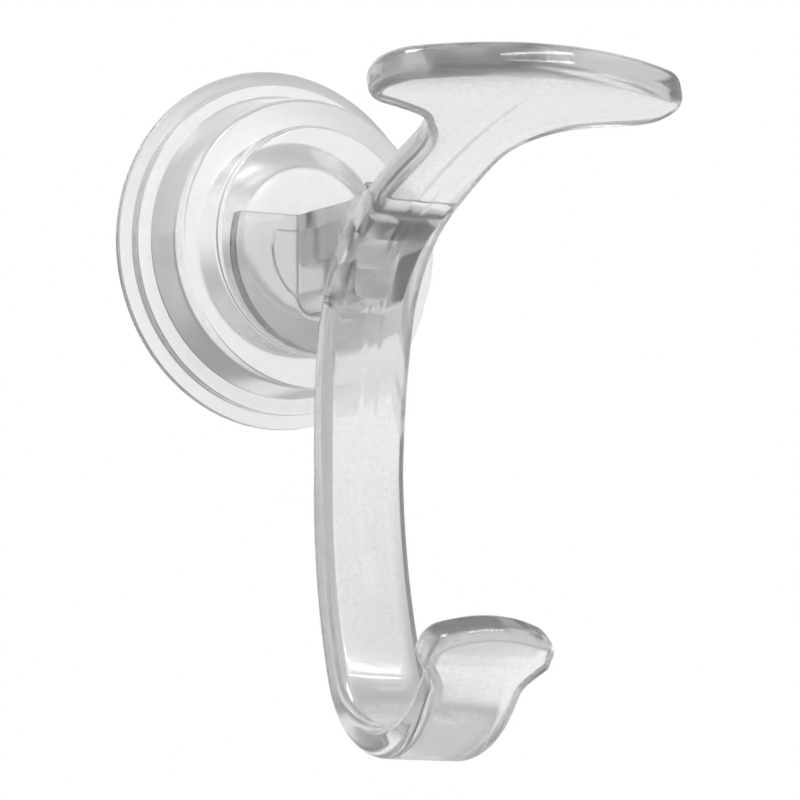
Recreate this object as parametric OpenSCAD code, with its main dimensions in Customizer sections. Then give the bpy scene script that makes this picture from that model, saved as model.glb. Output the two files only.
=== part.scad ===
// Clear suction cup hook: a soft round cup that grips a smooth wall, and a rigid
// double hook moulded in one piece, with a wide coat head above and a J below.
// The wall is the plane y = 0, the room is towards -y, and +z is up.
// The origin is the centre of the cup's rim, where it meets the wall.

/* [Cup] */
// Radius of the cup at its rim
cup_r = 29; // [28:0.25:32]
// Width of the flat band at the rim that seals on the wall
seal_w = 1.4; // [1:0.1:2]
// Thickness of the thin lip at the rim
lip_t = 0.8; // [0.6:0.05:1.2]
// Radius of the step where the lip meets the body
step_r = 26.8; // [26:0.1:27.2]
// Height of that step above the wall
step_h = 3; // [2.6:0.1:3.6]
// Radius of the drum at its foot
drum_foot_r = 24.4; // [24:0.1:25.2]
// Radius of the drum at its front edge
drum_top_r = 23.2; // [22.4:0.1:23.8]
// Height of the drum's front edge above the wall
drum_h = 11.6; // [10.5:0.1:12.5]
// Radius of the raised seat that carries the hook's plate
seat_r = 18.4; // [17.8:0.1:20]
// Height of the raised seat above the wall
seat_h = 14.5; // [14:0.1:16]
// Radius on the cup's outer edges
cup_edge = 0.5; // [0.3:0.05:0.6]
// Radius where the hollow's walls meet its roof
roof_edge = 2; // [1:0.1:2.5]
// Step from the sloping face up to the seat
seat_step = 1.3; // [0.8:0.1:1.8]

/* [Suction hollow] */
// Radius where the shallow outer hollow meets the deep one
hollow_mid_r = 16.4; // [15:0.1:18]
// Depth of the shallow outer hollow at that radius
hollow_mid_h = 2.6; // [1.5:0.1:3.5]
// Radius of the deep hollow's roof
hollow_top_r = 12.2; // [10:0.1:14]
// Soft wall left between the hollow's roof and the seat
roof_t = 3.7; // [2.5:0.1:5]

/* [Key and plug on the cup] */
// Radius of the D-shaped key that stops the hook turning
key_r = 9.1; // [8.6:0.1:10]
// How far the key stands above the seat
key_h = 1; // [0.6:0.1:1.4]
// Height of the key's flat top above the cup's axis
key_top = 1; // [0.5:0.1:1.3]
// Half-width of the plug that enters the hook's socket
plug_hw = 3.2; // [2.8:0.1:3.4]
// Height of the plug from its underside to the key's flat
plug_tall = 5.5; // [4:0.1:7]
// How far the plug stands out from the seat
plug_len = 14.5; // [10:0.1:15]

/* [Strip] */
// Thickness of the hook's strip
strip_t = 5.05; // [4.6:0.05:5.6]
// Thickness of the strip at the coat head's end
head_t = 5.75; // [5.2:0.05:6.4]
// Thickness of the strip at the prong's end
prong_t = 5.9; // [5:0.05:6.4]
// Radius on the strip's long edges
edge_r = 1.9; // [1.2:0.05:2.1]
// Distance of the lower arm's middle line from the wall, where the arm is upright
arm_d = 26.7; // [26:0.1:28]
// Depth of that upright place below the cup's axis
arm_drop = 38; // [36:0.5:42]

/* [Bends, from the coat head down] */
// Rise of the upper arm above the horizontal
head_rise = 16; // [14:0.5:20]
// Length of the straight part behind the coat head
head_len = 17.8; // [14:0.1:24]
// Radius of the upper arm's long sweep
sweep_bend = 117.5; // [95:0.5:140]
// Angle of that sweep
sweep_turn = 14.6; // [12:0.1:18]
// Radius of the bend in front of the socket
socket_bend = 28.7; // [26:0.1:32]
// Angle of the bend in front of the socket
socket_turn = 49.2; // [45:0.1:52]
// Radius of the lower arm's bow, above the upright place
bow_bend = 121.5; // [100:0.5:150]
// Radius of the lower arm's bow, below the upright place
lean_bend = 102.5; // [85:0.5:130]
// Angle of the bow below the upright place
lean_turn = 18.7; // [16:0.1:22]
// Radius of the blend into the J
foot_bend = 18.1; // [16:0.1:24]
// Angle of the blend into the J
foot_turn = 7.2; // [5:0.1:10]
// Radius of the J
j_bend = 15.1; // [14:0.1:17]
// Angle of the J
j_turn = 116.3; // [110:0.1:122]
// Length of the straight prong
prong_len = 14.7; // [13:0.1:17]

/* [Widths] */
// Half-width of the coat head
head_hw = 27; // [24:0.25:30]
// Length of the coat head's tips along the arm
head_tip = 9.7; // [9.7:0.1:11]
// Distance from the head's end to the corner where it spreads from the neck
head_root = 23.3; // [22:0.1:25]
// Radius of the coat head's gently arched end
head_arch = 55.5; // [48:0.5:80]
// Half-width of the neck behind the coat head
neck_hw = 7.7; // [7:0.1:8]
// Half-width of the strip where it leaves the socket
root_hw = 7.9; // [7.2:0.1:8.4]
// Half-width of the lower arm at its upright place
arm_hw = 7.5; // [7:0.1:8]
// Half-width of the J
j_hw = 8.1; // [7.6:0.1:8.6]
// Half-width of the prong's head
prong_hw = 11.3; // [10:0.1:12.5]
// Length of the prong head's sides
prong_tip = 4.4; // [4:0.1:5.2]
// Distance from the prong's end to the corner where it spreads
prong_root = 9.5; // [9:0.1:10.5]
// Radius of the prong's arched end
prong_arch = 23.5; // [20:0.5:40]
// Radius on the coat head's end corners
head_corner = 4; // [3:0.1:4.4]
// Radius where the coat head's tips turn in
tip_corner = 10.5; // [8:0.1:10.9]
// Radius from the coat head into the neck
neck_corner = 17.8; // [14:0.1:20]
// Radius that eases each change of the arm's width
waist_corner = 60; // [40:1:80]
// Radius from the arm into the prong's head
prong_neck = 5.7; // [4:0.1:7]
// Radius where the prong's head turns up
prong_side = 3.1; // [2.2:0.1:3.4]
// Radius on the prong's end corners
prong_corner = 2.25; // [2.2:0.05:2.8]
// Half-width of the rib down the middle of the room side
rib_hw = 1.1; // [0.8:0.1:1.6]
// Height of that rib
rib_h = 0.2; // [0.1:0.05:0.4]

/* [Plate and socket on the hook] */
// Radius of the D-shaped plate that rests on the cup's seat
plate_r = 16.5; // [15:0.1:17.5]
// Thickness of the plate
plate_t = 2.1; // [1.8:0.1:3]
// Distance of the plate's centre below the cup's axis
plate_drop = 1.6; // [1:0.1:2.4]
// Height of the plate's top edge above the cup's axis
plate_top = 3.6; // [3:0.1:4.2]
// Chamfer round the plate's front edge
plate_bevel = 0.4; // [0.2:0.05:0.6]
// Half-width of the socket block at the plate
socket_hw = 5; // [4.6:0.1:6]
// Half-width of the socket block where it reaches the upper arm
socket_wide = 7.5; // [6:0.1:7.6]
// Wall under the socket's pocket
socket_floor = 1.8; // [1.4:0.1:2.4]
// Fillet where the socket block meets the plate
root_fillet = 0.9; // [0.5:0.1:1.2]
// Gap between the plug's end and the end of the pocket
pocket_gap = 1; // [0.5:0.1:2]
// Radius on the socket block's lower corners
socket_corner = 3; // [2:0.1:3.5]
// Height of the pocket's open end below the plug
pocket_spare = 6.1; // [4:0.1:7]
// Radius on the pocket's lower corners
pocket_corner = 2; // [1:0.1:2.5]
// Radius of the fillet from the socket's top into the upper arm
arm_fillet = 12; // [8:0.5:14]

/* [Fits] */
// Clearance between the plate and the cup's seat
seat_gap = 0.05; // [0.02:0.01:0.2]
// Clearance round the key and the plug
key_gap = 0.2; // [0.1:0.05:0.3]

/* [Smoothness] */
// Longest step between rings along the strip
ring_step = 1.8; // [1.4:0.1:3]
// Steps round each rounded corner of an outline
corner_steps = 7; // [5:1:10]

/* [Hidden] */
clear_soft = [0.90, 0.91, 0.92, 0.55];
clear_rigid = [0.84, 0.86, 0.88, 0.6];
eps = 0.01;
// Steps across each rounded long edge of the strip
edge_steps = 3;
// Side slope of the rib, as a width
rib_slope = 0.25;
// Length over which the rib fades in and out at its two ends
rib_fade = 6;
// Length over which an end's arch dies away along the strip
arch_fade = 12;
$fn = 96;

// Rounded outlines. A corner is [x, y, radius]; a radius of 0 leaves it sharp.
function unit(v) = v / norm(v);
function corner_arc(a, p, b, r) =
    let (
        u = unit([a.x - p.x, a.y - p.y]),
        w = unit([b.x - p.x, b.y - p.y]),
        half = acos(max(-1, min(1, u * w))) / 2,
        mid = unit(u + w),
        centre = [p.x, p.y] + mid * r / sin(half),
        from = [p.x, p.y] + u * r / tan(half) - centre,
        to = [p.x, p.y] + w * r / tan(half) - centre,
        start = atan2(from.y, from.x),
        sweep = atan2(from.x * to.y - from.y * to.x, from * to)
    )
    [for (k = [0:corner_steps])
        let (g = start + sweep * k / corner_steps) centre + r * [cos(g), sin(g)]];
function corner_points(list, i) =
    list[i][2] == 0 ? [[list[i].x, list[i].y]]
        : corner_arc(list[i - 1], list[i], list[i + 1], list[i][2]);
// An open run of corners, whose first and last are sharp
function rounded_run(list) =
    [for (i = [0:len(list) - 1]) each corner_points(list, i)];
// The same run with no step longer than the given length
function divided(points, step) =
    [for (i = [0:len(points) - 2])
        let (n = max(1, ceil(norm(points[i + 1] - points[i]) / step)))
        for (k = [0:n - 1]) points[i] + (points[i + 1] - points[i]) * k / n,
     points[len(points) - 1]];

// The strip's middle line, seen from the side, as pieces of [length, turn],
// from the coat head's end down to the prong's tip. Every bend turns one way.
function bend(radius, turn) = [radius * turn * PI / 180, turn];
bow_turn = 90 - head_rise - sweep_turn - socket_turn;
route = [
    [head_len, 0],
    bend(sweep_bend, sweep_turn),
    bend(socket_bend, socket_turn),
    bend(bow_bend, bow_turn),
    bend(lean_bend, lean_turn),
    bend(foot_bend, foot_turn),
    bend(j_bend, j_turn),
    [prong_len, 0]
];
// Number of pieces above the upright place
pieces_above = 4;
// A pose is [distance from the wall, height, heading]
function travel(pose, piece, length) =
    piece[1] == 0 ? pose + [length * cos(pose[2]), length * sin(pose[2]), 0]
        : let (
            r = piece[0] * 180 / PI / piece[1],
            h = pose[2] + piece[1] * length / piece[0]
        )
        [pose[0] + r * (sin(h) - sin(pose[2])), pose[1] - r * (cos(h) - cos(pose[2])), h];
function pose_at(pose, s, i = 0) =
    i == len(route) - 1 || s <= route[i][0] ? travel(pose, route[i], s)
        : pose_at(travel(pose, route[i], route[i][0]), s - route[i][0], i + 1);
function length_to(count) = count == 0 ? 0 : route[count - 1][0] + length_to(count - 1);
strip_len = length_to(len(route));
upright_s = length_to(pieces_above);
// The route from a head end at zero shows where the upright place would fall
loose = pose_at([0, 0, 180 + head_rise], upright_s);
head_end = [arm_d - loose[0], -arm_drop - loose[1], 180 + head_rise];
function place(s) = pose_at(head_end, s);
// A point of the strip: x across, s along, t towards the room from the middle line
function strip_point(x, s, t) =
    let (p = place(s)) [x, -p[0] + t * sin(p[2]), p[1] + t * cos(p[2])];

// The strip's flat pattern: one side's outline as [half-width, distance from the
// head's end], with both ends arched
bend_s = length_to(2);
socket_s = length_to(3);
foot_s = length_to(5);
side_run = divided(rounded_run([
    [0, 0, 0],
    [head_hw, 0, head_corner],
    [head_hw, head_tip, tip_corner],
    [neck_hw, head_root, neck_corner],
    [neck_hw, bend_s, waist_corner / 2],
    [root_hw, socket_s, waist_corner],
    [arm_hw, upright_s, waist_corner],
    [j_hw, foot_s, waist_corner],
    [j_hw, strip_len - prong_root, prong_neck],
    [prong_hw, strip_len - prong_tip, prong_side],
    [prong_hw, strip_len, prong_corner],
    [0, strip_len, 0]
]), ring_step);
// How much of an end's arch applies at a distance from that end
function arch_share(e) = max(0, min(1, (head_root + arch_fade - e) / arch_fade));
function arched(p) = [p.x, p.y
    + p.x * p.x / (2 * head_arch) * arch_share(p.y)
    - p.x * p.x / (2 * prong_arch) * arch_share(strip_len - p.y)];
pattern = [for (p = side_run) arched(p)];
last = len(pattern) - 1;
// Outward direction of the pattern's edge at point i
function edge_out(i) =
    i == 0 ? [0, -1] : i == last ? [0, 1]
        : let (d = unit(pattern[i + 1] - pattern[i - 1])) [d.y, -d.x];
function thickness(s) = strip_t
    + (head_t - strip_t) * max(0, 1 - s / head_len)
    + (prong_t - strip_t) * max(0, (s - foot_s) / (strip_len - foot_s));

// Rings of the strip from its wall side to its room side. A ring is [inset, side,
// rise]: how far in from the outline, towards which face, and the rounding's rise
rings = [
    for (k = [0:edge_steps]) let (g = 90 - 90 * k / edge_steps)
        [edge_r * (1 - cos(g)), -1, edge_r * (1 - sin(g))],
    for (k = [0:edge_steps]) let (g = 90 * k / edge_steps)
        [edge_r * (1 - cos(g)), 1, edge_r * (1 - sin(g))]
];
ring_size = 2 * last;
function ring_point(ring, i, flip) =
    let (p = pattern[i] - edge_out(i) * ring[0])
    strip_point(flip * p.x, p.y, ring[1] * (thickness(p.y) / 2 - ring[2]));
function ring_points(ring) = concat(
    [for (i = [0:last]) ring_point(ring, i, 1)],
    [for (i = [last - 1:-1:1]) ring_point(ring, i, -1)]);
// Index of a ring's point on the right or the left of station i
function right_of(k, i) = k * ring_size + i;
function left_of(k, i) = k * ring_size + (i == 0 || i == last ? i : ring_size - i);

// The rib's four lines on the room side, at every station between the ends
rib_start = 7;
rib_end = length_to(6) - 16;
function rib_share(s) =
    max(0, min(1, min(s - rib_start, rib_end - s) / rib_fade));
rib_base = len(rings) * ring_size;
function rib_points(i) =
    let (
        p = pattern[i] - edge_out(i) * edge_r,
        face = thickness(p.y) / 2,
        foot = min(rib_hw + rib_slope, 0.8 * p.x),
        crest = min(rib_hw, 0.6 * p.x)
    )
    [strip_point(foot, p.y, face),
     strip_point(crest, p.y, face + rib_h * rib_share(p.y)),
     strip_point(-crest, p.y, face + rib_h * rib_share(p.y)),
     strip_point(-foot, p.y, face)];
strip_points = concat(
    [for (r = rings) each ring_points(r)],
    [for (i = [1:last - 1]) each rib_points(i)]);
front = len(rings) - 1;
// Indices across the room face at station i, from right to left
function across(i) =
    i == 0 || i == last ? [right_of(front, i)]
        : [right_of(front, i), each [for (k = [0:3]) rib_base + (i - 1) * 4 + k],
           left_of(front, i)];
function wall_faces() =
    [for (k = [0:len(rings) - 2], j = [0:ring_size - 1])
        let (a = k * ring_size + j, b = k * ring_size + (j + 1) % ring_size)
        each [[a, b, b + ring_size], [a, b + ring_size, a + ring_size]]];
function back_faces() =
    [[0, left_of(0, 1), right_of(0, 1)],
     [last, right_of(0, last - 1), left_of(0, last - 1)],
     for (i = [1:last - 2]) each [
        [right_of(0, i), left_of(0, i), left_of(0, i + 1)],
        [right_of(0, i), left_of(0, i + 1), right_of(0, i + 1)]]];
function front_faces() =
    [for (i = [0:last - 1]) let (a = across(i), b = across(i + 1))
        each len(a) == 1 ? [for (k = [0:4]) [a[0], b[k], b[k + 1]]]
            : len(b) == 1 ? [for (k = [0:4]) [a[k], b[0], a[k + 1]]]
            : [for (k = [0:4]) each [[a[k], b[k], b[k + 1]], [a[k], b[k + 1], a[k + 1]]]]];

module strip() {
    polyhedron(strip_points, concat(wall_faces(), back_faces(), front_faces()),
        convexity = 8);
}

// Turns a drawing in x and z towards the room, from one depth to another, where it
// may end wider than it starts
module toward_room(from, to, widen = 1) {
    rotate([90, 0, 0])
        translate([0, 0, from])
            linear_extrude(to - from, scale = [widen, 1], slices = 1)
                children();
}
// Turns a drawing of depth and height into a bar of the given half-width
module across_bar(half) {
    translate([-half, 0, 0])
        rotate([90, 0, 90])
            linear_extrude(2 * half)
                mirror([1, 0])
                    children();
}
// A disc about the plate's centre, cut flat at the given height
module d_outline(r, flat) {
    intersection() {
        translate([0, -plate_drop])
            circle(r);
        translate([-r, flat - 3 * r])
            square([2 * r, 3 * r]);
    }
}
// A box drawing with its lower corners rounded
module tub(half, low, high, r) {
    polygon(rounded_run([
        [0, high, 0],
        [-half, high, 0],
        [-half, low, r],
        [half, low, r],
        [half, high, 0],
        [0, high, 0]
    ]));
}

plate_back = seat_h + seat_gap;
plate_front = plate_back + plate_t;
pocket_top = key_top + key_gap;
pocket_low = key_top - plug_tall - pocket_spare;
pocket_hw = plug_hw + key_gap;
socket_low = pocket_low - socket_floor;
// The cup's profile, as [radius, height above the wall]
hollow_h = seat_h - roof_t;
cup_profile = rounded_run([
    [0, hollow_h, 0],
    [hollow_top_r, hollow_h, roof_edge],
    [hollow_mid_r, hollow_mid_h, roof_edge / 2],
    [cup_r - seal_w, 0, 0],
    [cup_r, 0, 0],
    [cup_r, lip_t, 0.8 * cup_edge],
    [step_r, step_h * 0.55, cup_edge],
    [step_r, step_h, cup_edge],
    [drum_foot_r, step_h * 1.1, cup_edge],
    [drum_top_r, drum_h, 1.8 * cup_edge],
    [seat_r, seat_h - seat_step, cup_edge],
    [seat_r, seat_h, cup_edge],
    [0, seat_h, 0]
]);

module suction_cup() {
    color(clear_soft)
    union() {
        rotate([90, 0, 0])
            rotate_extrude()
                polygon(cup_profile);
        toward_room(seat_h - eps, seat_h + key_h)
            d_outline(key_r, key_top);
        toward_room(seat_h - eps, seat_h + plug_len)
            tub(plug_hw, key_top - plug_tall, key_top, 1.2);
    }
}

module plate() {
    toward_room(plate_back, plate_front - plate_bevel)
        d_outline(plate_r, plate_top);
    toward_room(plate_front - plate_bevel - eps, plate_front)
        d_outline(plate_r - plate_bevel, plate_top);
}

// Everything behind the strip's middle line, seen from the side
module behind_strip() {
    steps = 40;
    run = upright_s - head_len;
    strip_line = [for (k = [0:steps]) let (p = place(head_len + run * k / steps))
        [p[0], p[1]]];
    polygon(concat(
        [[plate_back, strip_line[steps].y], [plate_back, strip_line[0].y]],
        strip_line));
}

// Where the top of the socket meets the upper arm's wall side
function back_of(s) = let (p = place(s), h = thickness(s) / 2)
    [p[0] + h * sin(p[2]), p[1] - h * cos(p[2])];
function meet_s(s) = back_of(s).y <= plate_top ? s : meet_s(s + 0.25);
arm_meet_s = meet_s(head_len);
arm_meet = back_of(arm_meet_s);
meet_slope = place(arm_meet_s)[2] - 180;
// The length along the arm that the fillet above the socket takes
fillet_reach = arm_fillet * tan(meet_slope / 2);
fillet_end = arm_meet + fillet_reach * [cos(meet_slope), sin(meet_slope)];
// The socket block's side view: a flat top with a fillet into the upper arm
module socket_side() {
    intersection() {
        behind_strip();
        polygon(rounded_run([
            [plate_front - eps, socket_low, 0],
            [plate_front - eps, plate_top, 0],
            [arm_meet.x, plate_top, arm_fillet],
            [fillet_end.x + eps, fillet_end.y + eps, 0],
            [fillet_end.x + eps, socket_low, 0]
        ]));
    }
}

// The fillet round the block's foot on the plate, as a stack of thin slabs that
// follow a quarter circle
module root_skirt() {
    slabs = 5;
    for (k = [0:slabs - 1]) let (
        low = 90 * k / slabs,
        high = 90 * (k + 1) / slabs,
        out = root_fillet * (1 - sin((low + high) / 2))
    )
    toward_room(k == 0 ? plate_back : plate_front + root_fillet * (1 - cos(low)),
        plate_front + root_fillet * (1 - cos(high)))
        tub(socket_hw + out, socket_low - out, plate_top, socket_corner + out);
}

module hook() {
    color(clear_rigid)
    difference() {
        union() {
            strip();
            plate();
            root_skirt();
            intersection() {
                across_bar(socket_wide)
                    socket_side();
                toward_room(plate_back, fillet_end.x + eps, socket_wide / socket_hw)
                    tub(socket_hw, socket_low, head_end[1], socket_corner);
            }
        }
        toward_room(plate_back - 1, plate_back + key_h - seat_gap + key_gap)
            d_outline(key_r + key_gap, pocket_top);
        toward_room(plate_back - 1, seat_h + plug_len + pocket_gap)
            tub(pocket_hw, pocket_low, pocket_top, pocket_corner);
    }
}

suction_cup();
hook();
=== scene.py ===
# %% [markdown]
# # A clear suction cup hook
# The real object is two clear mouldings. A soft vinyl cup grips a smooth wall, and a
# rigid double hook plugs onto it: a broad coat head above and a small J below.
# Clear plastic has hardly any colour of its own. What we see is the studio, bent by
# the shape, so this lesson spends its effort on fine smooth meshes and on what
# stands round the object, and little on paint.
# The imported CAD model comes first. It fixes where everything is, in metres: the wall
# is the plane y = 0, the room lies towards -y, and z is up.

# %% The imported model
import math

import bmesh
import bpy
import numpy as np
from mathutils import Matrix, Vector


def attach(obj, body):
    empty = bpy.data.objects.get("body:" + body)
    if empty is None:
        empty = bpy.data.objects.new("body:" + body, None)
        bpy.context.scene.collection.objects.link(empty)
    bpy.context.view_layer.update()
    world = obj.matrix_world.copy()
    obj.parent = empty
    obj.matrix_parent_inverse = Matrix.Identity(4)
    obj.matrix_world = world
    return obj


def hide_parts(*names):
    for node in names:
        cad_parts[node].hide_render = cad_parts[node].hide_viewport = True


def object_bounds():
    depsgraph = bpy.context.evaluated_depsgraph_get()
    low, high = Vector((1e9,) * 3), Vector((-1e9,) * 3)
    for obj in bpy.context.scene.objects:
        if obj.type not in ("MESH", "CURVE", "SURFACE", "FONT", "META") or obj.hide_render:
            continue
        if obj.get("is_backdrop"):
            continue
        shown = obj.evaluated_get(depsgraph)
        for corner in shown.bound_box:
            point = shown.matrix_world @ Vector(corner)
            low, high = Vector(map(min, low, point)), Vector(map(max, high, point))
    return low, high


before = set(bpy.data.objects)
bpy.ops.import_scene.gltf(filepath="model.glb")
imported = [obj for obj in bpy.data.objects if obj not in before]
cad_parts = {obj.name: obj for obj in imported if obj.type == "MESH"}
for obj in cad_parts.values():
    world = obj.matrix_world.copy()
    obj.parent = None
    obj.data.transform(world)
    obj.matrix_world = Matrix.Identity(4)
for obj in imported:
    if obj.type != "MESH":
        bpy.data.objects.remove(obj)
cad_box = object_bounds()
print("CAD nodes:", sorted(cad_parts))
MM = 0.001

# %% [markdown]
# ## Camera
# The photo was taken from the left of the hook and from a little below it, with a
# long lens, since the cup's ellipse and the prong keep nearly the same scale. A short
# lens close by would swell the prong. The camera stands 1.1 m away and is aimed off
# the object's origin, so that no lens shift is needed.

# %% Camera
CAMERA_DISTANCE = 1.1
CAMERA_SIDE = 30.2
CAMERA_BELOW = 7.3
AIM_SIDE = 31.27
AIM_UP = 6.05
LENS = 307.0
CLIP_END = 20.0


def direction(side, up):
    """A unit vector that points into the wall, turned to the right and upwards."""
    side, up = math.radians(side), math.radians(up)
    return Vector((math.sin(side) * math.cos(up), math.cos(side) * math.cos(up), math.sin(up)))


camera = bpy.data.objects.new("photo_camera", bpy.data.cameras.new("photo_camera"))
bpy.context.scene.collection.objects.link(camera)
camera.data.lens = LENS
camera.data.clip_end = CLIP_END
camera.location = -CAMERA_DISTANCE * direction(CAMERA_SIDE, CAMERA_BELOW)
camera.rotation_mode = "QUATERNION"
camera.rotation_quaternion = direction(AIM_SIDE, AIM_UP).to_track_quat("-Z", "Y")
bpy.context.scene.camera = camera
print("camera at", [round(v, 3) for v in camera.location])

# %% [markdown]
# ## Studio
# Clear things are lit from behind: a bright backdrop shines through them, and grey
# cards round them draw the edges. That is called bright field lighting. The world is
# the backdrop. It is a sweep of paper, white above and grey below the height at which
# the camera looks through the hook, so that the J and the foot of the cup, which bend
# light downwards, come out darker. The camera itself always sees it white. Matt
# surfaces get a plain fill in its place, which is a little cool.

# %% World
SWEEP_LOW, SWEEP_HIGH = -0.03, 0.13
SWEEP_GREY, SWEEP_WHITE = 0.42, 1.0
FILL, FILL_COLOUR = 0.7, (0.9, 0.92, 0.95)

studio = bpy.data.worlds.new("white_backdrop")
bpy.context.scene.world = studio
studio.use_nodes = True
nodes, links = studio.node_tree.nodes, studio.node_tree.links
nodes.clear()
path = nodes.new("ShaderNodeLightPath")
glass_sees = nodes.new("ShaderNodeMath")
glass_sees.operation = "MAXIMUM"
links.new(path.outputs["Is Glossy Ray"], glass_sees.inputs[0])
links.new(path.outputs["Is Transmission Ray"], glass_sees.inputs[1])
sees_backdrop = nodes.new("ShaderNodeMath")
sees_backdrop.operation = "MAXIMUM"
links.new(path.outputs["Is Camera Ray"], sees_backdrop.inputs[0])
links.new(glass_sees.outputs[0], sees_backdrop.inputs[1])
fill = nodes.new("ShaderNodeBackground")
fill.inputs["Color"].default_value = (*FILL_COLOUR, 1)
fill.inputs["Strength"].default_value = FILL
backdrop = nodes.new("ShaderNodeBackground")
backdrop.inputs["Color"].default_value = (1, 1, 1, 1)
toward = nodes.new("ShaderNodeTexCoord")
height = nodes.new("ShaderNodeSeparateXYZ")
links.new(toward.outputs["Generated"], height.inputs[0])
sweep = nodes.new("ShaderNodeMapRange")
sweep.interpolation_type = "SMOOTHSTEP"
sweep.inputs["From Min"].default_value = SWEEP_LOW
sweep.inputs["From Max"].default_value = SWEEP_HIGH
sweep.inputs["To Min"].default_value = SWEEP_GREY
sweep.inputs["To Max"].default_value = SWEEP_WHITE
links.new(height.outputs["Z"], sweep.inputs["Value"])
level = nodes.new("ShaderNodeMath")
level.operation = "MAXIMUM"
links.new(path.outputs["Is Camera Ray"], level.inputs[0])
links.new(sweep.outputs["Result"], level.inputs[1])
links.new(level.outputs[0], backdrop.inputs["Strength"])
mix = nodes.new("ShaderNodeMixShader")
links.new(sees_backdrop.outputs[0], mix.inputs["Fac"])
links.new(fill.outputs[0], mix.inputs[1])
links.new(backdrop.outputs[0], mix.inputs[2])
out = nodes.new("ShaderNodeOutputWorld")
links.new(mix.outputs[0], out.inputs["Surface"])
print("world:", studio.name, "grey", SWEEP_GREY, "to white", SWEEP_WHITE)

# %% [markdown]
# ## Cards
# A photographer stands grey cards round a clear thing. They could be painted into the
# backdrop too, but a card is easier to move. Each is a flat rectangle with a plain
# unlit grey, turned to face a point. Only reflected and refracted rays see it, so it
# never stands in the picture. The card on the right shows in the strip's left edge,
# the low one in the end of the coat head and in the J, and the top one in the cup's
# upper rings. The dark one at the back on the left draws the line along the arm's right
# edge, and the small one at the back on the right shades the lower left of the cup.

# %% Cards
HOOK_MIDDLE = (0, -0.03, -0.03)
STRAIGHT_UP = (0, 0, 1)


def flat_grey(name, value):
    """A material that shows the same grey from every side, lit or not."""
    m = bpy.data.materials.new(name)
    m.use_nodes = True
    m.node_tree.nodes.clear()
    glow = m.node_tree.nodes.new("ShaderNodeEmission")
    glow.inputs["Color"].default_value = (value, value, value, 1)
    surface = m.node_tree.nodes.new("ShaderNodeOutputMaterial")
    m.node_tree.links.new(glow.outputs[0], surface.inputs["Surface"])
    return m


def card(name, at, look_at, width, height, value):
    """A studio card of the given size, in metres, that faces a point."""
    mesh = bpy.data.meshes.new(name)
    w, h = width / 2, height / 2
    mesh.from_pydata([(-w, -h, 0), (w, -h, 0), (w, h, 0), (-w, h, 0)], [], [(0, 1, 2, 3)])
    plane = bpy.data.objects.new(name, mesh)
    bpy.context.scene.collection.objects.link(plane)
    plane.location = at
    plane.rotation_mode = "QUATERNION"
    plane.rotation_quaternion = (Vector(look_at) - Vector(at)).to_track_quat("Z", "Y")
    mesh.materials.append(flat_grey(name, value))
    plane.visible_camera = False
    plane.visible_diffuse = False
    plane.visible_shadow = False
    plane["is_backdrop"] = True
    return plane


card("front_card", (-0.9, -1.5, -0.3), HOOK_MIDDLE, 2.0, 2.4, 0.4)
card("front_right_card", (1.0, -1.4, 0.0), HOOK_MIDDLE, 1.4, 2.4, 0.45)
card("left_card", (-1.4, -0.1, 0.0), HOOK_MIDDLE, 1.4, 2.0, 0.4)
card("left_back_card", (-0.8, 1.1, -0.55), HOOK_MIDDLE, 1.4, 1.7, 0.12)
card("right_card", (1.3, 0.15, -0.1), HOOK_MIDDLE, 2.2, 2.4, 0.5)
card("top_card", (0.0, 0.0, 1.3), HOOK_MIDDLE, 2.0, 2.0, 0.4)
card("back_right_card", (1.14, 0.72, 0.56), HOOK_MIDDLE, 0.7, 0.8, 0.2)
card("low_card", (0.0, 0.0, -0.25), STRAIGHT_UP, 3.0, 3.0, 0.6)

# %% [markdown]
# ## Floor
# The hook hangs on a wall, so no floor is near it. A pale, matt one lies well below and
# keeps the object's shadow, for views from above. In the clear plastic the low card
# shows in its place. One rectangle does for the floor, since it lies below everything
# that the photo's camera sees.

# %% Floor
FLOOR_DEPTH, FLOOR_HALF = 0.32, 3.0
FLOOR_GREY, FLOOR_ROUGHNESS = 0.9, 0.7

floor_mesh = bpy.data.meshes.new("floor")
floor_corners = [(x * FLOOR_HALF, y * FLOOR_HALF, -FLOOR_DEPTH)
                 for x, y in ((-1, -1), (1, -1), (1, 1), (-1, 1))]
floor_mesh.from_pydata(floor_corners, [], [(0, 1, 2, 3)])
floor = bpy.data.objects.new("floor", floor_mesh)
bpy.context.scene.collection.objects.link(floor)
pale = bpy.data.materials.new("pale_floor")
pale.use_nodes = True
matt = pale.node_tree.nodes["Principled BSDF"]
matt.inputs["Base Color"].default_value = (FLOOR_GREY, FLOOR_GREY, FLOOR_GREY, 1)
matt.inputs["Roughness"].default_value = FLOOR_ROUGHNESS
floor_mesh.materials.append(pale)
floor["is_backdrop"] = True
print("floor at", -FLOOR_DEPTH)

# %% [markdown]
# ## Lamps
# Glints show how polished a clear thing is. Each is a mirror image of a lamp, so a long
# narrow lamp draws a streak, and a square one a spot. One soft square lamp stands above
# on the left. Two long narrow ones stand in front on the right, one over the other. The
# end of the coat head mirrors them as two streaks, and the bottom of the J as short
# glints. Places and sizes are in metres, and the power is in watts.

# %% Lamps
def softbox(name, at, look_at, width, height, power):
    """A rectangular area lamp that faces a point."""
    lamp = bpy.data.lights.new(name, "AREA")
    lamp.shape = "RECTANGLE"
    lamp.size = width
    lamp.size_y = height
    lamp.energy = power
    box = bpy.data.objects.new(name, lamp)
    bpy.context.scene.collection.objects.link(box)
    box.location = at
    box.rotation_mode = "QUATERNION"
    box.rotation_quaternion = (Vector(look_at) - Vector(at)).to_track_quat("-Z", "Y")
    return box


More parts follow.
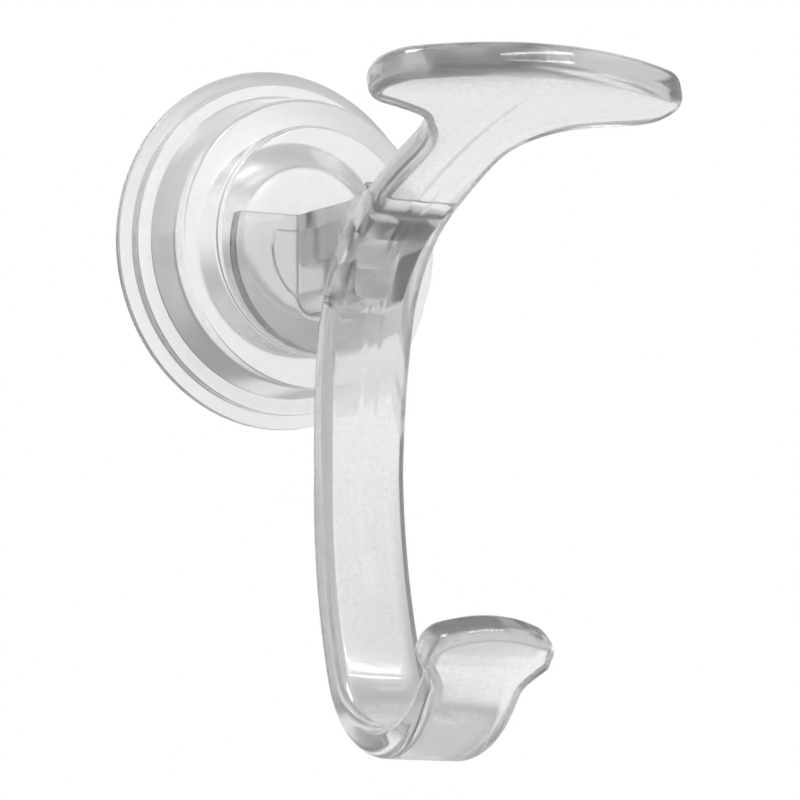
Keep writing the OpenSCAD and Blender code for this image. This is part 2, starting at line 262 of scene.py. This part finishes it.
softbox("key_softbox", (-0.35, -0.45, 0.95), HOOK_MIDDLE, 0.5, 0.5, 8)
softbox("upper_strip_light", (0.37, -0.70, 0.60), HOOK_MIDDLE, 0.42, 0.022, 0.5)
softbox("lower_strip_light", (0.35, -0.76, 0.50), HOOK_MIDDLE, 0.42, 0.015, 0.35)

# %% [markdown]
# ## Rounded outlines
# Both mouldings start from drawn outlines whose corners are rounded by arcs. A corner
# is written as (x, y, radius), and a radius of 0 leaves it sharp. The CAD source has
# the same outlines in coarser steps. They are drawn again here, because clear plastic
# shows every facet as a bent streak of light. A bevel would round them too, but it gives
# all corners one width, and here each has its own radius.

# %% Outline helpers
ARC_STEPS = 14


def corner_arc(before, corner, after, radius):
    """Points of the arc that rounds one corner of an outline."""
    p = np.array(corner[:2], float)
    u = np.array(before[:2], float) - p
    w = np.array(after[:2], float) - p
    u, w = u / np.linalg.norm(u), w / np.linalg.norm(w)
    half = math.acos(max(-1.0, min(1.0, float(u @ w)))) / 2
    middle = (u + w) / np.linalg.norm(u + w)
    centre = p + middle * radius / math.sin(half)
    start = p + u * radius / math.tan(half) - centre
    end = p + w * radius / math.tan(half) - centre
    first = math.atan2(start[1], start[0])
    sweep = math.atan2(start[0] * end[1] - start[1] * end[0], start @ end)
    return [centre + radius * np.array((math.cos(first + sweep * k / ARC_STEPS),
                                        math.sin(first + sweep * k / ARC_STEPS)))
            for k in range(ARC_STEPS + 1)]


def rounded(corners):
    """An open run of rounded corners, whose first and last are sharp."""
    run = []
    for i, corner in enumerate(corners):
        if corner[2] == 0:
            run.append(np.array(corner[:2], float))
        else:
            run += corner_arc(corners[i - 1], corner, corners[i + 1], corner[2])
    return run


def divided(run, step):
    """The same run with no step longer than the given length."""
    fine = []
    for a, b in zip(run, run[1:]):
        n = max(1, math.ceil(np.linalg.norm(b - a) / step))
        fine += [a + (b - a) * k / n for k in range(n)]
    return fine + [run[-1]]


# %% [markdown]
# ## The strip's route
# The hook is one flat strip, bent. From the side it is a chain of arcs that all turn
# one way, from the coat head down over the socket, along the arm and round the J. A
# Blender curve could carry it, but arcs keep the true radii of a bent strip. A piece of
# the route is (length, turn), and a place on it is (distance from the wall, height,
# heading). The whole strip is placed by the one point at which it stands upright.
# Lengths here are millimetres, as in the CAD source.

# %% Route
ARM_D, ARM_DROP = 26.7, 38.0
HEAD_RISE, HEAD_LEN = 16.0, 17.8
SWEEP, SOCKET_BEND = (117.5, 14.6), (28.7, 49.2)
BOW = (121.5, 90 - HEAD_RISE - SWEEP[1] - SOCKET_BEND[1])
LEAN, FOOT, J_BEND = (102.5, 18.7), (18.1, 7.2), (15.1, 116.3)
PRONG_LEN = 14.7


def bend(radius, turn):
    """An arc of the route, from its radius and its turn in degrees."""
    return (radius * math.radians(turn), turn)


route = [(HEAD_LEN, 0.0), bend(*SWEEP), bend(*SOCKET_BEND), bend(*BOW),
         bend(*LEAN), bend(*FOOT), bend(*J_BEND), (PRONG_LEN, 0.0)]
ends = np.cumsum([0] + [length for length, _ in route])
SWEEP_END, SOCKET_END, UPRIGHT_S, LEAN_END, FOOT_END = ends[2:7]
STRIP_LEN = ends[-1]


def travel(place, piece, length):
    """The place reached by following one piece of the route for a length."""
    d, z, heading = place
    if piece[1] == 0:
        h = math.radians(heading)
        return (d + length * math.cos(h), z + length * math.sin(h), heading)
    radius = piece[0] / math.radians(piece[1])
    turned = heading + piece[1] * length / piece[0]
    a, b = math.radians(heading), math.radians(turned)
    return (d + radius * (math.sin(b) - math.sin(a)),
            z - radius * (math.cos(b) - math.cos(a)), turned)


def follow(start, s):
    """The place at distance s along the route, from a starting place."""
    place = start
    for i, piece in enumerate(route):
        if s <= piece[0] or i == len(route) - 1:
            return travel(place, piece, s)
        place = travel(place, piece, piece[0])
        s -= piece[0]


loose = follow((0, 0, 180 + HEAD_RISE), UPRIGHT_S)
head_end = (ARM_D - loose[0], -ARM_DROP - loose[1], 180 + HEAD_RISE)


def strip_point(x, s, t):
    """A point x across, s along, and t towards the room from the strip's middle."""
    d, z, heading = follow(head_end, s)
    h = math.radians(heading)
    return (x, -d + t * math.sin(h), z + t * math.cos(h))


print("strip length", round(STRIP_LEN, 1), "mm, head's end at", [round(v, 1) for v in head_end])

# %% [markdown]
# ## The strip's flat pattern
# Unbent, the strip would be a long flat shape: an arched head, a neck, a slightly
# waisted arm and a flared prong. It is drawn flat, as one would cut it from a sheet,
# because its curves are simple there. One side is drawn as (half-width, distance from
# the head's end), and the other side is its mirror image.

# %% Flat pattern
HEAD_HW, HEAD_TIP, HEAD_ROOT, HEAD_ARCH = 27.0, 9.7, 23.3, 55.5
HEAD_CORNER, TIP_CORNER, NECK_CORNER, WAIST_CORNER = 4.0, 10.5, 17.8, 60.0
NECK_HW, ROOT_HW, ARM_HW, J_HW = 7.7, 7.9, 7.5, 8.1
PRONG_HW, PRONG_TIP, PRONG_ROOT, PRONG_ARCH = 11.3, 4.4, 9.5, 23.5
PRONG_NECK, PRONG_SIDE, PRONG_CORNER = 5.7, 3.1, 2.25
STRIP_T, HEAD_T, PRONG_T, EDGE_R = 5.05, 5.75, 5.9, 1.9
ARCH_FADE = 12.0
STATION_STEP = 0.8

side = divided(rounded([
    (0, 0, 0),
    (HEAD_HW, 0, HEAD_CORNER),
    (HEAD_HW, HEAD_TIP, TIP_CORNER),
    (NECK_HW, HEAD_ROOT, NECK_CORNER),
    (NECK_HW, SWEEP_END, WAIST_CORNER / 2),
    (ROOT_HW, SOCKET_END, WAIST_CORNER),
    (ARM_HW, UPRIGHT_S, WAIST_CORNER),
    (J_HW, LEAN_END, WAIST_CORNER),
    (J_HW, STRIP_LEN - PRONG_ROOT, PRONG_NECK),
    (PRONG_HW, STRIP_LEN - PRONG_TIP, PRONG_SIDE),
    (PRONG_HW, STRIP_LEN, PRONG_CORNER),
    (0, STRIP_LEN, 0),
]), STATION_STEP)


def arch_share(from_end):
    """How much of an end's arch applies at a distance from that end."""
    return max(0.0, min(1.0, (HEAD_ROOT + ARCH_FADE - from_end) / ARCH_FADE))


pattern = np.array([(x, s + x * x / (2 * HEAD_ARCH) * arch_share(s)
                     - x * x / (2 * PRONG_ARCH) * arch_share(STRIP_LEN - s)) for x, s in side])
last = len(pattern) - 1
print("pattern stations:", last + 1)


# %% [markdown]
# ## The strip's rounded edges
# The mesh is a stack of closed rings. Each ring is the pattern's outline, moved in
# and raised along a quarter circle, so the long edges come out rounded. A bevel could
# round them too, but rings keep the curves even where the strip bends and flares.

# %% Strip rings
EDGE_STEPS = 8


def thickness(s):
    """How thick the strip is at a distance along it. It thickens towards both ends."""
    towards_head = max(0.0, 1 - s / HEAD_LEN)
    towards_prong = max(0.0, (s - LEAN_END) / (STRIP_LEN - LEAN_END))
    return STRIP_T + (HEAD_T - STRIP_T) * towards_head + (PRONG_T - STRIP_T) * towards_prong


def edge_out(i):
    """The outward direction of the pattern's edge at a station."""
    if i == 0:
        return np.array((0.0, -1.0))
    if i == last:
        return np.array((0.0, 1.0))
    d = pattern[i + 1] - pattern[i - 1]
    d = d / np.linalg.norm(d)
    return np.array((d[1], -d[0]))


outward = [edge_out(i) for i in range(last + 1)]
turns = [math.radians(90 * k / EDGE_STEPS) for k in range(EDGE_STEPS + 1)]
wall_rings = [(EDGE_R * (1 - math.sin(g)), -1, EDGE_R * (1 - math.cos(g))) for g in turns]
room_rings = [(EDGE_R * (1 - math.cos(g)), 1, EDGE_R * (1 - math.sin(g))) for g in turns]
rings = wall_rings + room_rings
ring_size = 2 * last
front = len(rings) - 1


def ring_point(ring, i, flip):
    """A ring's point at one station, on the right, or on the left where flip is -1."""
    inset, towards, drop = ring
    x, s = pattern[i] - outward[i] * inset
    return strip_point(flip * x, s, towards * (thickness(s) / 2 - drop))


print("rings:", len(rings), "of", ring_size, "points")

# %% [markdown]
# ## The rib
# A fine rib runs down the middle of the room face, the witness of two mould halves, and
# fades at both ends. A bump in the finish could fake it, but real height also bends the
# light that passes through. It is drawn by rows across the face. They have spare points
# beside the rib, so that its slopes don't shade the broad face.

# %% Rib
RIB_HW, RIB_SLOPE, RIB_H, RIB_FADE = 1.1, 0.4, 0.13, 6.0
RIB_START, RIB_STOPS_SHORT = 7.0, 16.0
RIB_END = FOOT_END - RIB_STOPS_SHORT
RIB_SHARE = 0.8
RIB_POINTS = 8


def rib_row(i):
    """Points across the room face at one station, which draw the rib with soft edges."""
    x, s = pattern[i] - outward[i] * EDGE_R
    share = max(0.0, min(1.0, min(s - RIB_START, RIB_END - s) / RIB_FADE))
    squeeze = min(1.0, RIB_SHARE * x / (RIB_HW + 2 * RIB_SLOPE))
    face = thickness(s) / 2
    steps = [(RIB_HW + 2 * RIB_SLOPE, 0), (RIB_HW + RIB_SLOPE, 0), (RIB_HW, 1), (RIB_HW - RIB_SLOPE, 1)]
    half = [(u * squeeze, face + RIB_H * share * up) for u, up in steps]
    return [strip_point(u, s, t) for u, t in half] + [strip_point(-u, s, t) for u, t in reversed(half)]


points = []
for ring in rings:
    points += [ring_point(ring, i, 1) for i in range(last + 1)]
    points += [ring_point(ring, i, -1) for i in range(last - 1, 0, -1)]
rib_base = len(points)
for i in range(1, last):
    points += rib_row(i)
print("strip:", len(points), "points,", len(points) - rib_base, "of them on the rib's rows")

# %% [markdown]
# ## The strip's faces
# Each ring is joined to the next by four-sided faces, and both broad faces are filled
# from side to side. One large face would be less work, but it couldn't follow the
# bends. All four-sided faces run along or across the strip, so its shading stays calm.

# %% Strip mesh
def right_of(k, i):
    """The number of ring k's right point at a station."""
    return k * ring_size + i


def left_of(k, i):
    """The number of ring k's left point at a station. At both ends it is the right one."""
    return k * ring_size + (i if i in (0, last) else ring_size - i)


def across(i):
    """The room face's point numbers at one station, from right to left."""
    if i in (0, last):
        return [right_of(front, i)]
    rib = [rib_base + (i - 1) * RIB_POINTS + k for k in range(RIB_POINTS)]
    return [right_of(front, i)] + rib + [left_of(front, i)]


faces = []
for k in range(len(rings) - 1):
    for j in range(ring_size):
        a, b = k * ring_size + j, k * ring_size + (j + 1) % ring_size
        faces.append((a, b, b + ring_size, a + ring_size))
faces.append((0, left_of(0, 1), right_of(0, 1)))
faces.append((last, right_of(0, last - 1), left_of(0, last - 1)))
for i in range(1, last - 1):
    faces.append((right_of(0, i), left_of(0, i), left_of(0, i + 1), right_of(0, i + 1)))
for i in range(last):
    a, b = across(i), across(i + 1)
    for k in range(RIB_POINTS + 1):
        if len(a) == 1:
            faces.append((a[0], b[k], b[k + 1]))
        elif len(b) == 1:
            faces.append((a[k], b[0], a[k + 1]))
        else:
            faces.append((a[k], b[k], b[k + 1], a[k + 1]))


def solid(name, verts, polygons):
    """A closed mesh object from points in millimetres, with its faces turned outwards."""
    mesh = bpy.data.meshes.new(name)
    mesh.from_pydata([tuple(c * MM for c in v) for v in verts], [], polygons)
    tidy = bmesh.new()
    tidy.from_mesh(mesh)
    bmesh.ops.recalc_face_normals(tidy, faces=tidy.faces)
    if tidy.calc_volume(signed=True) < 0:
        bmesh.ops.reverse_faces(tidy, faces=tidy.faces)
    tidy.to_mesh(mesh)
    tidy.free()
    piece = bpy.data.objects.new(name, mesh)
    bpy.context.scene.collection.objects.link(piece)
    return piece


strip = solid("strip", points, faces)
print("strip:", len(strip.data.polygons), "faces")

# %% [markdown]
# ## Prisms and joining
# The plate, the socket block and its pocket are prisms: a drawing pushed along one
# axis. Booleans join them to the strip, because a clear moulding that is one solid
# has no surface inside it, and two meshes pushed through each other would show one.

# %% Prism helpers
def prism(name, outline, place):
    """A closed prism. place(u, v, k) gives the point of the outline's end k, 0 or 1."""
    n = len(outline)
    verts = [place(u, v, k) for k in (0, 1) for u, v in outline]
    sides = [(i, (i + 1) % n, n + (i + 1) % n, n + i) for i in range(n)]
    return solid(name, verts, [tuple(range(n)), tuple(range(n, 2 * n))] + sides)


def toward_room(name, outline, start, end, widen=1.0):
    """Pushes a drawing in x and z out from the wall. It may end wider than it starts."""
    return prism(name, outline, lambda u, v, k: (u * (1.0, widen)[k], -(start, end)[k], v))


def across_bar(name, outline, half):
    """Pushes a drawing of depth and height sideways, to a half-width each way."""
    return prism(name, outline, lambda u, v, k: ((-half, half)[k], -u, v))


def combined(base, tool, way):
    """The union, difference or intersection of two solids. The tool is used up."""
    step = base.modifiers.new("combine", "BOOLEAN")
    step.operation = way
    step.solver = "EXACT"
    step.object = tool
    bpy.context.view_layer.update()
    evaluated = base.evaluated_get(bpy.context.evaluated_depsgraph_get())
    mesh = bpy.data.meshes.new_from_object(evaluated)
    base.modifiers.clear()
    base.data = mesh
    bpy.data.objects.remove(tool)
    return base


def disc_cut_flat(radius, flat, centre_z, steps=160):
    """A disc below a flat top edge, as x and z points."""
    lean = math.asin((flat - centre_z) / radius)
    sweep = math.pi + 2 * lean
    angles = [lean - sweep * k / steps for k in range(steps + 1)]
    return [(radius * math.cos(a), centre_z + radius * math.sin(a)) for a in angles]


def tub(half, low, high, radius):
    """A box drawing with its lower corners rounded."""
    corners = [(half, high, 0), (half, low, radius), (-half, low, radius), (-half, high, 0)]
    return [tuple(p) for p in rounded(corners)]


# %% [markdown]
# ## Socket block
# The block joins the hook's plate to the strip. It widens towards the strip, so that
# their sides run into each other with no step. Its top is flat and runs into the upper
# arm by a fillet, and its foot flares into the plate. It could be one loft, but two
# drawings that cut each other, from the side and from the front, are easier to follow.
# The block overlaps its neighbours by a hair, and a cutter starts a little behind what
# it cuts, since a Boolean is least sure of faces that lie in one plane.

# %% Socket block
SEAT_H, SEAT_GAP = 14.5, 0.05
PLATE_R, PLATE_T, PLATE_DROP, PLATE_TOP = 16.5, 2.1, 1.6, 3.6
KEY_R, KEY_H, KEY_TOP, KEY_GAP = 9.1, 1.0, 1.0, 0.2
PLUG_HW, PLUG_TALL, PLUG_LEN = 3.2, 5.5, 14.5
SOCKET_HW, SOCKET_WIDE, SOCKET_FLOOR, SOCKET_CORNER = 5.0, 7.5, 1.8, 3.0
ROOT_FILLET, ARM_FILLET = 0.9, 12.0
POCKET_SPARE, POCKET_CORNER, POCKET_GAP = 6.1, 2.0, 1.0
OVERLAP, CUT_SPARE = 0.01, 1.0
MEET_STEP = 0.25
plate_back = SEAT_H + SEAT_GAP
plate_front = plate_back + PLATE_T
pocket_top = KEY_TOP + KEY_GAP
pocket_low = KEY_TOP - PLUG_TALL - POCKET_SPARE
socket_low = pocket_low - SOCKET_FLOOR


def behind_strip(steps=90):
    """The side drawing of all that lies behind the strip's middle line."""
    span = UPRIGHT_S - HEAD_LEN
    line = [follow(head_end, HEAD_LEN + span * k / steps)[:2] for k in range(steps + 1)]
    return [(plate_back, line[-1][1]), (plate_back, line[0][1])] + line


def back_of(s):
    """The point on the strip's wall side at a distance along it, as depth and height."""
    d, z, heading = follow(head_end, s)
    h, t = math.radians(heading), thickness(s) / 2
    return d + t * math.sin(h), z - t * math.cos(h)


def foot_fillet(steps=8):
    """A concave flare round the block's foot, lofted between growing outlines."""
    levels = [(ROOT_FILLET, plate_back)]
    for k in range(steps + 1):
        g = math.radians(90 * k / steps)
        levels.append((ROOT_FILLET * (1 - math.sin(g)), plate_front + ROOT_FILLET * (1 - math.cos(g))))
    rows = []
    for grow, depth in levels:
        outline = tub(SOCKET_HW + grow, socket_low - grow, PLATE_TOP, SOCKET_CORNER + grow)
        rows.append([(x, -depth, z) for x, z in outline])
    n, top = len(rows[0]), len(rows) - 1
    sides = [(a * n + i, a * n + (i + 1) % n, (a + 1) * n + (i + 1) % n, (a + 1) * n + i)
             for a in range(top) for i in range(n)]
    caps = [tuple(range(n)), tuple(range(top * n, (top + 1) * n))]
    return solid("foot_fillet", sum(rows, []), sides + caps)


# the place where the strip's wall side comes down to the height of the plate's top
meet_s = HEAD_LEN
while back_of(meet_s)[1] > PLATE_TOP:
    meet_s += MEET_STEP
meet = back_of(meet_s)
slope = math.radians(follow(head_end, meet_s)[2] - 180)
reach = ARM_FILLET * math.tan(slope / 2)
fillet_end = (meet[0] + reach * math.cos(slope), meet[1] + reach * math.sin(slope))
block_end = fillet_end[0] + OVERLAP
block_side = [tuple(p) for p in rounded([
    (plate_front - OVERLAP, socket_low, 0),
    (plate_front - OVERLAP, PLATE_TOP, 0),
    (meet[0], PLATE_TOP, ARM_FILLET),
    (block_end, fillet_end[1] + OVERLAP, 0),
    (block_end, socket_low, 0),
])]
block = across_bar("block", block_side, SOCKET_WIDE)
block = combined(block, across_bar("behind", behind_strip(), SOCKET_WIDE + CUT_SPARE), "INTERSECT")
block_front = tub(SOCKET_HW, socket_low, head_end[1], SOCKET_CORNER)
widening = toward_room("block_front", block_front, plate_back, block_end, SOCKET_WIDE / SOCKET_HW)
block = combined(block, widening, "INTERSECT")
print("block:", len(block.data.polygons), "faces, meets the arm", round(meet[0], 1), "mm out")

# %% [markdown]
# ## Plate, recess and pocket
# The D-shaped plate rests on the cup's seat, and its back has a shallow recess for the
# cup's key. The pocket is cut last: the cup's plug fills its upper half, and the lower
# half stays empty, which is the bright window under the socket. That half could be left
# solid, since nothing enters it, but the window would then be gone.

# %% Hook
plate = toward_room("plate", disc_cut_flat(PLATE_R, PLATE_TOP, -PLATE_DROP), plate_back, plate_front)
block = combined(block, foot_fillet(), "UNION")
hook = combined(strip, block, "UNION")
hook = combined(hook, plate, "UNION")
cut_start = plate_back - CUT_SPARE
recess_front = disc_cut_flat(KEY_R + KEY_GAP, KEY_TOP + KEY_GAP, -PLATE_DROP)
recess = toward_room("recess", recess_front, cut_start, plate_back + KEY_H - SEAT_GAP + KEY_GAP)
hook = combined(hook, recess, "DIFFERENCE")
pocket_front = tub(PLUG_HW + KEY_GAP, pocket_low, pocket_top, POCKET_CORNER)
pocket = toward_room("pocket", pocket_front, cut_start, SEAT_H + PLUG_LEN + POCKET_GAP)
hook = combined(hook, pocket, "DIFFERENCE")
hook.name = "clear_hook"
print("hook:", len(hook.data.polygons), "faces")

# %% [markdown]
# ## Suction cup
# The cup is a turned shape, so its profile is drawn once, as (radius, height above
# the wall), and swept round. A Screw modifier could do that, but a loop sets the two
# points on the axis exactly. The inside is drawn too: a shallow outer hollow and a
# deep one, which show through the soft vinyl as pale rings. The D-shaped key and the
# plug are joined on, and the hook fits over them.

# %% Suction cup
CUP_R, SEAL_W, LIP_T = 29.0, 1.4, 0.8
CUP_EDGE, ROOF_EDGE = 0.5, 2.0
STEP_R, STEP_H = 26.8, 3.0
DRUM_FOOT_R, DRUM_TOP_R, DRUM_H = 24.4, 23.2, 11.6
SEAT_R, SEAT_STEP = 18.4, 1.3
HOLLOW_MID_R, HOLLOW_MID_H, HOLLOW_TOP_R, ROOF_T = 16.4, 2.6, 12.2, 3.7
hollow_h = SEAT_H - ROOF_T
lip_edge, drum_edge = 0.8 * CUP_EDGE, 1.8 * CUP_EDGE
step_foot_h, drum_foot_h = STEP_H * 0.55, STEP_H * 1.1
PLUG_CORNER, SEAT_BITE = 1.2, 0.5
TURN_STEPS = 256

profile = rounded([
    (0, hollow_h, 0),
    (HOLLOW_TOP_R, hollow_h, ROOF_EDGE),
    (HOLLOW_MID_R, HOLLOW_MID_H, ROOF_EDGE / 2),
    (CUP_R - SEAL_W, 0, 0),
    (CUP_R, 0, 0),
    (CUP_R, LIP_T, lip_edge),
    (STEP_R, step_foot_h, CUP_EDGE),
    (STEP_R, STEP_H, CUP_EDGE),
    (DRUM_FOOT_R, drum_foot_h, CUP_EDGE),
    (DRUM_TOP_R, DRUM_H, drum_edge),
    (SEAT_R, SEAT_H - SEAT_STEP, CUP_EDGE),
    (SEAT_R, SEAT_H, CUP_EDGE),
    (0, SEAT_H, 0),
])


def turned(name, run, steps):
    """A solid of revolution about the cup's axis, from a profile that starts and ends on it."""
    verts = [(0, -run[0][1], 0), (0, -run[-1][1], 0)]
    for r, h in run[1:-1]:
        verts += [(r * math.cos(2 * math.pi * k / steps), -h, r * math.sin(2 * math.pi * k / steps))
                  for k in range(steps)]
    polygons = []
    rows = len(run) - 2
    for k in range(steps):
        n = (k + 1) % steps
        polygons.append((0, 2 + k, 2 + n))
        polygons.append((1, 2 + (rows - 1) * steps + n, 2 + (rows - 1) * steps + k))
        for j in range(rows - 1):
            a = 2 + j * steps
            polygons.append((a + k, a + steps + k, a + steps + n, a + n))
    return solid(name, verts, polygons)


cup = turned("clear_cup", profile, TURN_STEPS)
inside_seat = SEAT_H - SEAT_BITE
key_front = disc_cut_flat(KEY_R, KEY_TOP, -PLATE_DROP)
key = toward_room("key", key_front, inside_seat, SEAT_H + KEY_H)
plug_front = tub(PLUG_HW, KEY_TOP - PLUG_TALL, KEY_TOP, PLUG_CORNER)
plug = toward_room("plug", plug_front, inside_seat, SEAT_H + PLUG_LEN)
cup = combined(cup, combined(key, plug, "UNION"), "UNION")
cup.name = "clear_cup"
print("cup:", len(cup.data.polygons), "faces")

# %% [markdown]
# ## Moulded grain
# Both mouldings have the same fine grain, with small specks and tiny bubbles. It could
# be built into each material, but one shared group keeps them alike: from one noise it
# varies the gloss, dims the tint in small specks, and gives a height for the bump.

# %% Grain group
GRAIN_FROM, GRAIN_TO = 0.35, 0.7
GRAIN_DETAIL = 3

grain = bpy.data.node_groups.new("moulded_grain", "ShaderNodeTree")
for socket, kind in (("Scale", "Float"), ("Smooth", "Float"), ("Rough", "Float"),
                     ("Clear Tint", "Color"), ("Speck Tint", "Color")):
    grain.interface.new_socket(socket, in_out="INPUT", socket_type="NodeSocket" + kind)
for socket, kind in (("Roughness", "Float"), ("Tint", "Color"), ("Height", "Float")):
    grain.interface.new_socket(socket, in_out="OUTPUT", socket_type="NodeSocket" + kind)
given = grain.nodes.new("NodeGroupInput")
result = grain.nodes.new("NodeGroupOutput")
where = grain.nodes.new("ShaderNodeTexCoord")
cloud = grain.nodes.new("ShaderNodeTexNoise")
cloud.inputs["Detail"].default_value = GRAIN_DETAIL
grain.links.new(where.outputs["Object"], cloud.inputs["Vector"])
grain.links.new(given.outputs["Scale"], cloud.inputs["Scale"])
spread = grain.nodes.new("ShaderNodeMapRange")
spread.inputs["From Min"].default_value = GRAIN_FROM
spread.inputs["From Max"].default_value = GRAIN_TO
grain.links.new(cloud.outputs["Fac"], spread.inputs["Value"])
polish = grain.nodes.new("ShaderNodeMapRange")
grain.links.new(spread.outputs["Result"], polish.inputs["Value"])
grain.links.new(given.outputs["Smooth"], polish.inputs["To Min"])
grain.links.new(given.outputs["Rough"], polish.inputs["To Max"])
grain.links.new(polish.outputs["Result"], result.inputs["Roughness"])
specks = grain.nodes.new("ShaderNodeMix")
specks.data_type = "RGBA"
grain.links.new(spread.outputs["Result"], specks.inputs["Factor"])
grain.links.new(given.outputs["Clear Tint"], specks.inputs["A"])
grain.links.new(given.outputs["Speck Tint"], specks.inputs["B"])
grain.links.new(specks.outputs["Result"], result.inputs["Tint"])
grain.links.new(cloud.outputs["Fac"], result.inputs["Height"])
print("group:", grain.name)

# %% [markdown]
# ## Clear plastics
# Both finishes are the same recipe: a shader that transmits nearly all light, with a
# roughness that softens what shows through, a small milky share that comes from the
# part that is not transmitted, and a thin polished coat that keeps the lamps' glints
# crisp. They differ in how much light bends in them, how milky they are and how rough.
# A plain glass shader would be simpler, but it has neither the milkiness nor the coat.

# %% Clear finishes
COAT, COAT_ROUGHNESS = 0.5, 0.04
GRAIN_DEPTH = 0.0002


def clear_plastic(name, ior, clearness, scale, polish_range, tint, speck, bump):
    """A clear plastic whose gloss and tint vary a little over the surface."""
    m = bpy.data.materials.new(name)
    m.use_nodes = True
    tree = m.node_tree
    shader = tree.nodes["Principled BSDF"]
    shader.inputs["Transmission Weight"].default_value = clearness
    shader.inputs["IOR"].default_value = ior
    shader.inputs["Coat Weight"].default_value = COAT
    shader.inputs["Coat Roughness"].default_value = COAT_ROUGHNESS
    group = tree.nodes.new("ShaderNodeGroup")
    group.node_tree = grain
    group.inputs["Scale"].default_value = scale
    group.inputs["Smooth"].default_value = polish_range[0]
    group.inputs["Rough"].default_value = polish_range[1]
    group.inputs["Clear Tint"].default_value = (*tint, 1)
    group.inputs["Speck Tint"].default_value = (*(c * speck for c in tint), 1)
    tree.links.new(group.outputs["Roughness"], shader.inputs["Roughness"])
    tree.links.new(group.outputs["Tint"], shader.inputs["Base Color"])
    relief = tree.nodes.new("ShaderNodeBump")
    relief.inputs["Strength"].default_value = bump
    relief.inputs["Distance"].default_value = GRAIN_DEPTH
    tree.links.new(group.outputs["Height"], relief.inputs["Height"])
    tree.links.new(relief.outputs["Normal"], shader.inputs["Normal"])
    return m


rigid = clear_plastic("rigid_clear_plastic", ior=1.49, clearness=0.94, scale=1600,
                      polish_range=(0.09, 0.19), tint=(0.985, 0.99, 0.995), speck=0.92, bump=0.03)
soft = clear_plastic("soft_clear_vinyl", ior=1.45, clearness=0.88, scale=900,
                     polish_range=(0.14, 0.24), tint=(0.975, 0.98, 0.985), speck=0.96, bump=0.01)
print("finishes:", rigid.name, soft.name)

# %% [markdown]
# ## Dressing the pieces
# Each moulding takes its finish and the place of its CAD node. The shading is smooth
# except at corners sharper than a few tens of degrees: rounded edges run on, and the
# edges of the plate, the key and the pocket stay crisp. A bevel on every edge would
# look moulded too, but it would blur the lines that are seen through the plastic.

# %% Pieces and finishes
SHARP = math.radians(28)
for piece, finish, slot, node in ((hook, rigid, "rigid_clear_plastic", "hook"),
                                  (cup, soft, "soft_clear_vinyl", "suction_cup")):
    piece.data.materials.clear()
    piece.data.materials.append(finish)
    piece.data.shade_smooth()
    piece.data.set_sharp_from_angle(angle=SHARP)
    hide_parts(node)
    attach(piece, "root")
    print(piece.name, "takes the place of", node)

# %% [markdown]
# ## Measuring
# The Standard view shows each colour about as it is written. The box round the finished
# pieces is measured last and kept beside the CAD's box, which tells at once whether a
# piece has grown or slipped. Measuring by eye would miss a tenth of a millimetre.

# %% Finish
bpy.context.scene.view_settings.view_transform = "Standard"
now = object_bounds()
for title, box in (("CAD box", cad_box), ("scene box", now)):
    print(title, [[round(v, 4) for v in c] for c in box])
